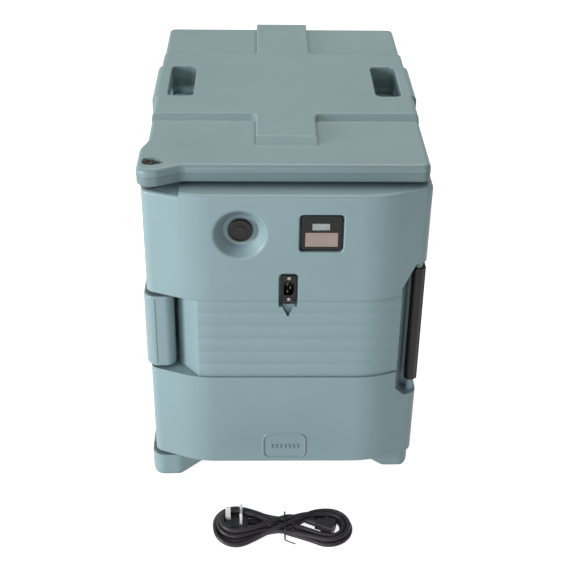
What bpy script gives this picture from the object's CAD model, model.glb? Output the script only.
"""Looks of the heated food carrier: camera, light, materials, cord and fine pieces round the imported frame."""

import math

import bpy
from mathutils import Matrix, Vector


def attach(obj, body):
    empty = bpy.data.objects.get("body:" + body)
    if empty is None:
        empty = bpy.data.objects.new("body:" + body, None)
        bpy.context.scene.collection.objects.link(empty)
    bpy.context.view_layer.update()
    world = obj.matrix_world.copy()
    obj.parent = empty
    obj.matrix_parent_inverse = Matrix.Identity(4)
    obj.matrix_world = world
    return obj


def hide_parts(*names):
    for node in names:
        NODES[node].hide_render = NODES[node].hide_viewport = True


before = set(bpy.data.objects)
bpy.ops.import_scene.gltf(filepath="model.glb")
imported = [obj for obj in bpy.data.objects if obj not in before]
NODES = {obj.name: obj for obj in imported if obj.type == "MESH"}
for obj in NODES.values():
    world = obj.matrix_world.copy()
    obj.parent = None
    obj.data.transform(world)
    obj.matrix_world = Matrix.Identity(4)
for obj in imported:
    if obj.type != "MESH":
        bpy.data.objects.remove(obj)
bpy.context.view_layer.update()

# ---- driving values, metres and degrees -----------------------------------------------------------
CAMERA_PLACE = Vector((-0.0434, -1.9222, 1.3846))
CAMERA_PITCH = 31.40            # below the horizon
CAMERA_YAW = 1.48               # turned right of +Y
CAMERA_ROLL = 0.84
CAMERA_LENS = 72.37             # mm
SENSOR_WIDTH = 36               # mm

SURROUND_COLOUR = (0.97, 0.99, 1, 1)
SURROUND_STRENGTH = 0.34
FLOOR_SIDE = 120
FLOOR_DROP = 0.0005             # how far the floor lies under the feet
FLOOR_GLOW = 0.86

SPECKLE_SHARE = 0.35            # weight of a moulding's fine speckle against its cloudy tone

LID_FOOT = (0.583, 0.585)       # heights over which the lid's duller faces begin
LID_PARTING = (0.6003, 0.6010)  # heights over which they lighten again
LID_PAST_PARTING = 0.62         # share of the shade that is left above the parting line
LID_FACING = (-0.22, -0.45)     # Y of a face's normal, from no shade to full shade
LID_SHADE = 0.62                # what full shade leaves of the colour

CORD_DIAMETER = 0.008
ROUND_ANGLES = (102, 74, 45, 15, -15, -45, -74, -102)   # of the control points in a round of the cord
ROUND_BULGE = 1.03              # how many radii out they stand, as the curve runs a little inside them


# ---- camera, light and stage ------------------------------------------------------------------------
def camera():
    """Camera of the product view, looking down on the front and the top."""
    pitch, yaw, roll = (math.radians(a) for a in (CAMERA_PITCH, CAMERA_YAW, CAMERA_ROLL))
    forward = Vector((math.sin(yaw) * math.cos(pitch), math.cos(yaw) * math.cos(pitch), -math.sin(pitch)))
    right = Vector((math.cos(yaw), -math.sin(yaw), 0))
    up = right.cross(forward)
    side = math.cos(roll) * right + math.sin(roll) * up
    top = math.cos(roll) * up - math.sin(roll) * right
    data = bpy.data.cameras.new("camera")
    data.sensor_width = SENSOR_WIDTH
    data.lens = CAMERA_LENS
    made = bpy.data.objects.new("camera", data)
    axes = Matrix((side, top, -forward)).transposed()
    made.matrix_world = Matrix.Translation(CAMERA_PLACE) @ axes.to_4x4()
    bpy.context.scene.collection.objects.link(made)
    bpy.context.scene.camera = made


def area_light(name, place, aim, size, power, colour):
    """Square soft light that looks at a point."""
    data = bpy.data.lights.new(name, "AREA")
    data.size = size
    data.energy = power
    data.color = colour
    made = bpy.data.objects.new(name, data)
    made.location = place
    made.rotation_mode = "QUATERNION"
    made.rotation_quaternion = (Vector(aim) - Vector(place)).to_track_quat("-Z", "Y")
    bpy.context.scene.collection.objects.link(made)


def lights():
    """Soft key from the left, a weaker front light, a warm overhead light and an even surround."""
    aim = (0, -0.1, 0.3)
    area_light("key", (-3.0, -1.7, 1.1), aim, 1.3, 131, (0.97, 0.99, 1.0))
    area_light("front", (-0.7, -3.4, 0.9), aim, 1.4, 34, (0.96, 0.99, 1.0))
    area_light("overhead", (0.2, 0.9, 3.0), aim, 1.8, 50, (1.0, 0.93, 0.86))
    world = bpy.data.worlds.new("studio")
    world.use_nodes = True
    surround = world.node_tree.nodes["Background"]
    surround.inputs["Color"].default_value = SURROUND_COLOUR
    surround.inputs["Strength"].default_value = SURROUND_STRENGTH
    bpy.context.scene.world = world
    bpy.context.scene.view_settings.view_transform = "Standard"


def floor():
    """Large white floor with a faint glow, so that only the contact shadows show on it."""
    bpy.ops.mesh.primitive_plane_add(size=FLOOR_SIDE, location=(0, 0, -FLOOR_DROP))
    made = bpy.context.object
    made.name = "studio_floor"
    made.visible_diffuse = False
    mat, bsdf = material("studio_floor", (0.5, 0.5, 0.5), 0.9)
    bsdf.inputs["Emission Color"].default_value = (1, 1, 1, 1)
    bsdf.inputs["Emission Strength"].default_value = FLOOR_GLOW
    made.data.materials.append(mat)


# ---- material helpers -----------------------------------------------------------------------------
def material(name, colour, roughness, metallic=0.0):
    """Principled material, and its shader to build on."""
    mat = bpy.data.materials.new(name)
    mat.use_nodes = True
    bsdf = mat.node_tree.nodes["Principled BSDF"]
    bsdf.inputs["Base Color"].default_value = (*colour, 1)
    bsdf.inputs["Roughness"].default_value = roughness
    bsdf.inputs["Metallic"].default_value = metallic
    return mat, bsdf


def node(mat, kind, **inputs):
    """Shader node of a kind, with some of its inputs set."""
    made = mat.node_tree.nodes.new("ShaderNode" + kind)
    for name, value in inputs.items():
        made.inputs[name].default_value = value
    return made


def link(mat, out, into):
    mat.node_tree.links.new(out, into)


def coordinates(mat, stretch=(1, 1, 1)):
    """The object's own coordinates, stretched along an axis for brushed and drawn surfaces."""
    source = node(mat, "TexCoord")
    mapping = node(mat, "Mapping")
    mapping.inputs["Scale"].default_value = stretch
    link(mat, source.outputs["Object"], mapping.inputs["Vector"])
    return mapping.outputs["Vector"]


def noise(mat, where, scale, detail, rough=0.5):
    made = node(mat, "TexNoise", Scale=scale, Detail=detail, Roughness=rough)
    link(mat, where, made.inputs["Vector"])
    return made.outputs["Fac"]


def levels(mat, value, low, high, out_low=0.0, out_high=1.0):
    """A value's range from low to high, spread from out_low to out_high."""
    made = node(mat, "MapRange")
    link(mat, value, made.inputs["Value"])
    for name, amount in (("From Min", low), ("From Max", high), ("To Min", out_low), ("To Max", out_high)):
        made.inputs[name].default_value = amount
    return made.outputs["Result"]


def blend_colours(mat, factor, first, second):
    """Mix of two colours, each a tuple or a socket."""
    made = mat.node_tree.nodes.new("ShaderNodeMix")
    made.data_type = "RGBA"
    link(mat, factor, made.inputs[0])
    for socket, value in ((made.inputs[6], first), (made.inputs[7], second)):
        if isinstance(value, tuple):
            socket.default_value = (*value, 1)
        else:
            link(mat, value, socket)
    return made.outputs[2]


def bumps(mat, bsdf, *layers, edge=0.0):
    """Stacked bumps, each (height, distance, strength), over a softened edge of a radius."""
    normal = None
    if edge:
        soft = mat.node_tree.nodes.new("ShaderNodeBevel")
        soft.samples = 4
        soft.inputs["Radius"].default_value = edge
        normal = soft.outputs["Normal"]
    for height, distance, strength in layers:
        made = node(mat, "Bump", Strength=strength, Distance=distance)
        link(mat, height, made.inputs["Height"])
        if normal:
            link(mat, normal, made.inputs["Normal"])
        normal = made.outputs["Normal"]
    link(mat, normal, bsdf.inputs["Normal"])


def darker(colour, factor):
    return tuple(part * factor for part in colour)


def moulded(name, colour, roughness, grain, depth, spread, edge, gloss=0.4):
    """Moulded plastic or rubber: cloudy tone, a fine skin texture, uneven gloss and light scuffs."""
    mat, bsdf = material(name, colour, roughness)
    bsdf.inputs["Specular IOR Level"].default_value = gloss
    where = coordinates(mat)
    cloud = levels(mat, noise(mat, where, 6, 4), 0.35, 0.65)
    speckle = levels(mat, noise(mat, where, grain * 0.6, 2), 0.3, 0.7)
    toned = blend_colours(mat, cloud, darker(colour, 1 - spread), darker(colour, 1 + spread * 0.7))
    grained = blend_colours(mat, speckle, darker(colour, 1 - spread), darker(colour, 1 + spread))
    share = node(mat, "Value")
    share.outputs[0].default_value = SPECKLE_SHARE
    link(mat, blend_colours(mat, share.outputs[0], toned, grained), bsdf.inputs["Base Color"])
    uneven = levels(mat, noise(mat, where, 28, 5), 0.3, 0.7, roughness * 0.88, min(1, roughness * 1.14))
    link(mat, uneven, bsdf.inputs["Roughness"])
    skin = noise(mat, where, grain, 3)
    waves = noise(mat, where, 55, 2)
    marks = levels(mat, noise(mat, coordinates(mat, (1.0, 0.35, 6.0)), 130, 6, 0.7), 0.60, 0.75)
    bumps(mat, bsdf, (waves, 0.0006, 0.10), (skin, depth, 0.5), (marks, 0.00004, 0.25), edge=edge)
    return mat, bsdf


def tint(mat, bsdf, factor, amount):
    """Darken the base colour where a factor is high."""
    base = bsdf.inputs["Base Color"]
    before = base.links[0].from_socket
    dark = mat.node_tree.nodes.new("ShaderNodeMix")
    dark.data_type = "RGBA"
    dark.blend_type = "MULTIPLY"
    dark.inputs[0].default_value = 1
    link(mat, before, dark.inputs[6])
    dark.inputs[7].default_value = (amount, amount, amount, 1)
    link(mat, blend_colours(mat, factor, before, dark.outputs[2]), base)


def shade_hollows(mat, bsdf, reach, amount):
    """Grime and worn-in shade in the hollows and seams."""
    open_sky = mat.node_tree.nodes.new("ShaderNodeAmbientOcclusion")
    open_sky.samples = 6
    open_sky.inputs["Distance"].default_value = reach
    tint(mat, bsdf, levels(mat, open_sky.outputs["AO"], 0.80, 0.25), amount)


def shade_lip(mat, bsdf):
    """Faces of the lid that turn to the front are duller, most of all below its parting line."""
    source = node(mat, "TexCoord")
    parts = node(mat, "SeparateXYZ")
    link(mat, source.outputs["Object"], parts.inputs["Vector"])
    turned = node(mat, "SeparateXYZ")
    link(mat, source.outputs["Normal"], turned.inputs["Vector"])
    above = levels(mat, parts.outputs["Z"], *LID_FOOT)
    parting = levels(mat, parts.outputs["Z"], *LID_PARTING, 1.0, LID_PAST_PARTING)
    forward = levels(mat, turned.outputs["Y"], *LID_FACING)
    factor = above
    for other in (parting, forward):
        product = mat.node_tree.nodes.new("ShaderNodeMath")
        product.operation = "MULTIPLY"
        link(mat, factor, product.inputs[0])
        link(mat, other, product.inputs[1])
        factor = product.outputs[0]
    tint(mat, bsdf, factor, LID_SHADE)


def slate():
    """Rotomoulded slate-blue polyethylene: soft satin skin with an orange-peel ripple."""
    mat, bsdf = moulded("slate_plastic", (0.203, 0.293, 0.312), 0.44, 700, 0.00005, 0.05, edge=0.0018)
    shade_hollows(mat, bsdf, 0.012, 0.5)
    shade_lip(mat, bsdf)
    bsdf.inputs["Coat Weight"].default_value = 0.06
    bsdf.inputs["Coat Roughness"].default_value = 0.2
    return mat


def metal(name, colour, roughness, stretch, grain, metallic=1.0):
    """Bare metal with drawn grain, stains and fine scratches."""
    mat, bsdf = material(name, colour, roughness, metallic)
    where = coordinates(mat, stretch)
    streak = noise(mat, where, grain, 4, 0.6)
    stain = levels(mat, noise(mat, coordinates(mat), 22, 5), 0.35, 0.7)
    link(mat, blend_colours(mat, stain, colour, darker(colour, 0.82)), bsdf.inputs["Base Color"])
    uneven = levels(mat, streak, 0.3, 0.7, roughness * 0.75, min(1, roughness * 1.3))
    link(mat, uneven, bsdf.inputs["Roughness"])
    bumps(mat, bsdf, (streak, 0.00002, 0.4), edge=0.0003)
    return mat


def foam():
    """Cream rigid foam, with open cells where it was cut."""
    mat, bsdf = material("foam", (0.78, 0.68, 0.44), 0.85)
    where = coordinates(mat)
    cells = node(mat, "TexVoronoi", Scale=420)
    link(mat, where, cells.inputs["Vector"])
    tone = levels(mat, noise(mat, where, 12, 5), 0.3, 0.7)
    link(mat, blend_colours(mat, tone, (0.80, 0.70, 0.46), (0.66, 0.55, 0.32)), bsdf.inputs["Base Color"])
    bumps(mat, bsdf, (cells.outputs["Distance"], 0.0006, 0.6))
    return mat


def window():
    """Clear cover of the display, with a faint haze."""
    mat, bsdf = material("window_clear", (0.93, 0.95, 0.95), 0.06)
    bsdf.inputs["Transmission Weight"].default_value = 1.0
    bsdf.inputs["IOR"].default_value = 1.2
    haze = levels(mat, noise(mat, coordinates(mat), 200, 4), 0.4, 0.7, 0.04, 0.14)
    link(mat, haze, bsdf.inputs["Roughness"])
    return mat


def display():
    """Grey liquid-crystal panel, a little uneven."""
    mat, bsdf = material("lcd", (0.33, 0.34, 0.345), 0.35)
    cloud = levels(mat, noise(mat, coordinates(mat), 60, 3), 0.3, 0.7)
    link(mat, blend_colours(mat, cloud, (0.35, 0.36, 0.365), (0.29, 0.30, 0.305)), bsdf.inputs["Base Color"])
    return mat


def solar_cell():
    """Brown amorphous cell with thin upright dividing lines."""
    mat, bsdf = material("solar_cell", (0.27, 0.20, 0.17), 0.3)
    where = coordinates(mat)
    stripes = node(mat, "TexWave", Scale=160, Distortion=0.0)
    stripes.bands_direction = "X"
    link(mat, where, stripes.inputs["Vector"])
    line = levels(mat, stripes.outputs["Fac"], 0.90, 0.97)
    cloud = levels(mat, noise(mat, where, 45, 4), 0.3, 0.7)
    film = blend_colours(mat, cloud, (0.30, 0.225, 0.19), (0.24, 0.175, 0.15))
    link(mat, blend_colours(mat, line, film, (0.215, 0.16, 0.14)), bsdf.inputs["Base Color"])
    bsdf.inputs["Coat Weight"].default_value = 0.4
    bumps(mat, bsdf, (line, 0.00005, 0.5))
    return mat


def circuit_board():
    """Green board with traces."""
    mat, bsdf = material("circuit_board", (0.02, 0.14, 0.06), 0.35)
    where = coordinates(mat)
    traces = node(mat, "TexBrick", Scale=90)
    traces.inputs["Mortar Size"].default_value = 0.03
    link(mat, where, traces.inputs["Vector"])
    pads = levels(mat, noise(mat, where, 260, 1), 0.64, 0.66)
    green = blend_colours(mat, traces.outputs["Fac"], (0.02, 0.14, 0.06), (0.05, 0.25, 0.10))
    link(mat, blend_colours(mat, pads, green, (0.65, 0.62, 0.55)), bsdf.inputs["Base Color"])
    bumps(mat, bsdf, (traces.outputs["Fac"], 0.00003, 0.5))
    return mat


def make_materials():
    """Every slot's material by name."""
    made = {"slate_plastic": slate(), "foam": foam(), "window_clear": window(), "lcd": display(),
            "solar_cell": solar_cell(), "circuit_board": circuit_board()}
    mouldings = {
        "plug_plastic": ((0.19, 0.28, 0.30), 0.5, 800, 0.00003, 0.08),
        "black_nylon": ((0.005, 0.0045, 0.005), 0.36, 1100, 0.00004, 0.18),
        "pin_plastic": ((0.030, 0.022, 0.018), 0.33, 900, 0.00003, 0.20),
        "washer_nylon": ((0.055, 0.055, 0.055), 0.45, 900, 0.00003, 0.12),
        "bezel_plastic": ((0.003, 0.003, 0.0035), 0.24, 1500, 0.00003, 0.15),
        "gasket_rubber": ((0.05, 0.05, 0.052), 0.62, 1300, 0.00005, 0.15),
        "seal_rubber": ((0.045, 0.044, 0.044), 0.6, 1500, 0.00004, 0.12),
        "wire_insulation": ((0.16, 0.07, 0.035), 0.4, 2000, 0.00002, 0.25),
        "white_polyamide": ((0.78, 0.77, 0.72), 0.42, 1400, 0.00003, 0.05),
        "cord_rubber": ((0.030, 0.026, 0.030), 0.40, 1500, 0.00005, 0.16),
        "plug_black": ((0.030, 0.026, 0.029), 0.38, 1500, 0.00004, 0.16),
        "tie_nylon": ((0.02, 0.02, 0.02), 0.35, 1800, 0.00002, 0.12),
    }
    for name, (colour, roughness, grain, depth, spread) in mouldings.items():
        made[name] = moulded(name, colour, roughness, grain, depth, spread, edge=0.0004, gloss=0.3)[0]
    made["stainless"] = metal("stainless", (0.60, 0.59, 0.57), 0.28, (1, 1, 14), 600)
    made["zinc_screw"] = metal("zinc_screw", (0.42, 0.40, 0.39), 0.34, (1, 1, 1), 1500)
    made["aluminium_sheet"] = metal("aluminium_sheet", (0.80, 0.80, 0.81), 0.36, (1, 1, 24), 420)
    made["brass_pin"] = metal("brass_pin", (0.95, 0.94, 0.92), 0.45, (6, 6, 1), 900, 0.35)
    made["tarnished_pin"] = metal("tarnished_pin", (0.15, 0.145, 0.14), 0.5, (6, 6, 1), 900, 0.6)
    made["element_sheath"] = metal("element_sheath", (0.20, 0.19, 0.18), 0.5, (1, 1, 1), 1200)
    return made


def dress_nodes(made):
    """Give every CAD piece the material of its slot; the inlet's pins are duller than the plug's."""
    for piece in NODES.values():
        used = [slot.material.name.split(".")[0] for slot in piece.material_slots if slot.material]
        name = next(kind for kind in used if kind in made)
        piece.data.materials.clear()
        piece.data.materials.append(made[name])
    NODES["power_inlet_pins"].data.materials[0] = made["tarnished_pin"]


# ---- power cord -------------------------------------------------------------------------------------
def half_turn(back, front, reach):
    """Round of the cord between its back run and its front run, in millimetres.

    A positive reach is at the connector's end of the hank, and a negative one at the plug's end.
    """
    (back_y, back_z), (front_y, front_z) = back, front
    radius = (back_y - front_y) / 2
    side = 1 if reach > 0 else -1
    turn = []
    for degrees in ROUND_ANGLES:
        angle = math.radians(degrees)
        x = reach + side * radius * (ROUND_BULGE * math.cos(angle) - 1)
        y = front_y + radius * (1 + ROUND_BULGE * math.sin(angle))
        turn.append((x, y, front_z + (back_z - front_z) * (1 + math.sin(angle)) / 2))
    return turn


def cord_path():
    """Five turns of the hank and its two ends, from the plug to the connector, in millimetres.

    The runs between the rounds are chosen by hand, so that they cross each other at the waist.
    """
    path = [(-42, -452, 8), (-30, -452, 9.8), (-16, -451, 12.2), (0, -449.5, 12.2), (26, -444, 6),
            (48, -440, 4)]
    path += half_turn((-438.5, 4), (-487, 4), 97.5)
    path += [(56, -481, 4), (38, -468, 4), (20, -461, 4), (0, -463, 4), (-22, -460, 4), (-42, -462, 4),
             (-64, -473, 4)]
    path += reversed(half_turn((-421, 4), (-483, 4), -119.5))
    path += [(-60, -433, 4), (-30, -442, 4), (0, -444.8, 4), (30, -437, 4), (50, -431, 4)]
    path += half_turn((-431, 4), (-494.5, 4), 105)[:-1]
    path += [(62, -489, 4), (42, -479, 4), (22, -469, 7), (0, -456, 11), (-16, -446.5, 6), (-34, -440, 11.5),
             (-54, -430, 12.3)]
    path += half_turn((-421.5, 12.3), (-492.5, 4), -120)
    path += [(-50, -480, 4.4), (-22, -476, 10), (0, -476.5, 12.2), (24, -460, 14), (44, -441.5, 11.5),
             (64, -429, 5)]
    path += half_turn((-423.5, 4), (-502, 4), 112.5)[1:]
    path += [(50, -494, 4), (24, -482, 4), (0, -472, 4), (-16, -461, 6), (-34, -449, 15), (-58, -437, 16.6)]
    path += half_turn((-428.5, 16.6), (-502.5, 4.2), -119)
    path += [(-50, -489, 6), (-24, -481, 17), (0, -469, 19.8), (26, -454, 20.5), (48, -436, 17)]
    path += half_turn((-428, 12.4), (-498, 12.3), 109)
    path += [(44, -490, 12.3), (20, -482, 12.3), (0, -479, 12.3), (-24, -475, 12.3), (-42, -476, 12.3),
             (-64, -484, 12.4)]
    path += reversed(half_turn((-433, 20.7), (-490, 12.6), -113))
    path += [(-54, -441, 20.8), (-26, -453, 20.2), (0, -457.5, 20), (26, -447, 20), (46, -438, 16)]
    path += half_turn((-436, 12.6), (-490, 12.4), 101)[:-1]
    path += [(62, -486, 12.4), (42, -476, 12.4), (22, -466.5, 12.4), (0, -462, 12.4), (-18, -459, 16),
             (-36, -454, 20.8), (-60, -443, 21.4)]
    path += half_turn((-437, 21.4), (-485.5, 21.2), -108)
    path += [(-62, -482, 21.2), (-40, -473, 21), (-18, -462, 21), (-4, -453, 20.2), (8, -447.5, 18.5),
             (22, -447, 14.5), (35.8, -450.5, 11.5)]
    return path


def power_cord():
    """The coiled cord, which takes the place of the CAD hank."""
    curve = bpy.data.curves.new("power_cord", "CURVE")
    curve.dimensions = "3D"
    curve.bevel_depth = CORD_DIAMETER / 2
    curve.bevel_resolution = 5
    curve.resolution_u = 8
    spline = curve.splines.new("NURBS")
    path = cord_path()
    spline.points.add(len(path) - 1)
    for point, (x, y, z) in zip(spline.points, path):
        point.co = (x / 1000, y / 1000, z / 1000, 1)
    spline.order_u = 3
    spline.use_endpoint_u = True
    made = bpy.data.objects.new("power_cord", curve)
    bpy.context.scene.collection.objects.link(made)
    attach(made, "power_lead")
    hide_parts("cord_hank")
    return made


camera()
cord = power_cord()
materials = make_materials()
dress_nodes(materials)
cord.data.materials.append(materials["cord_rubber"])
lights()
floor()
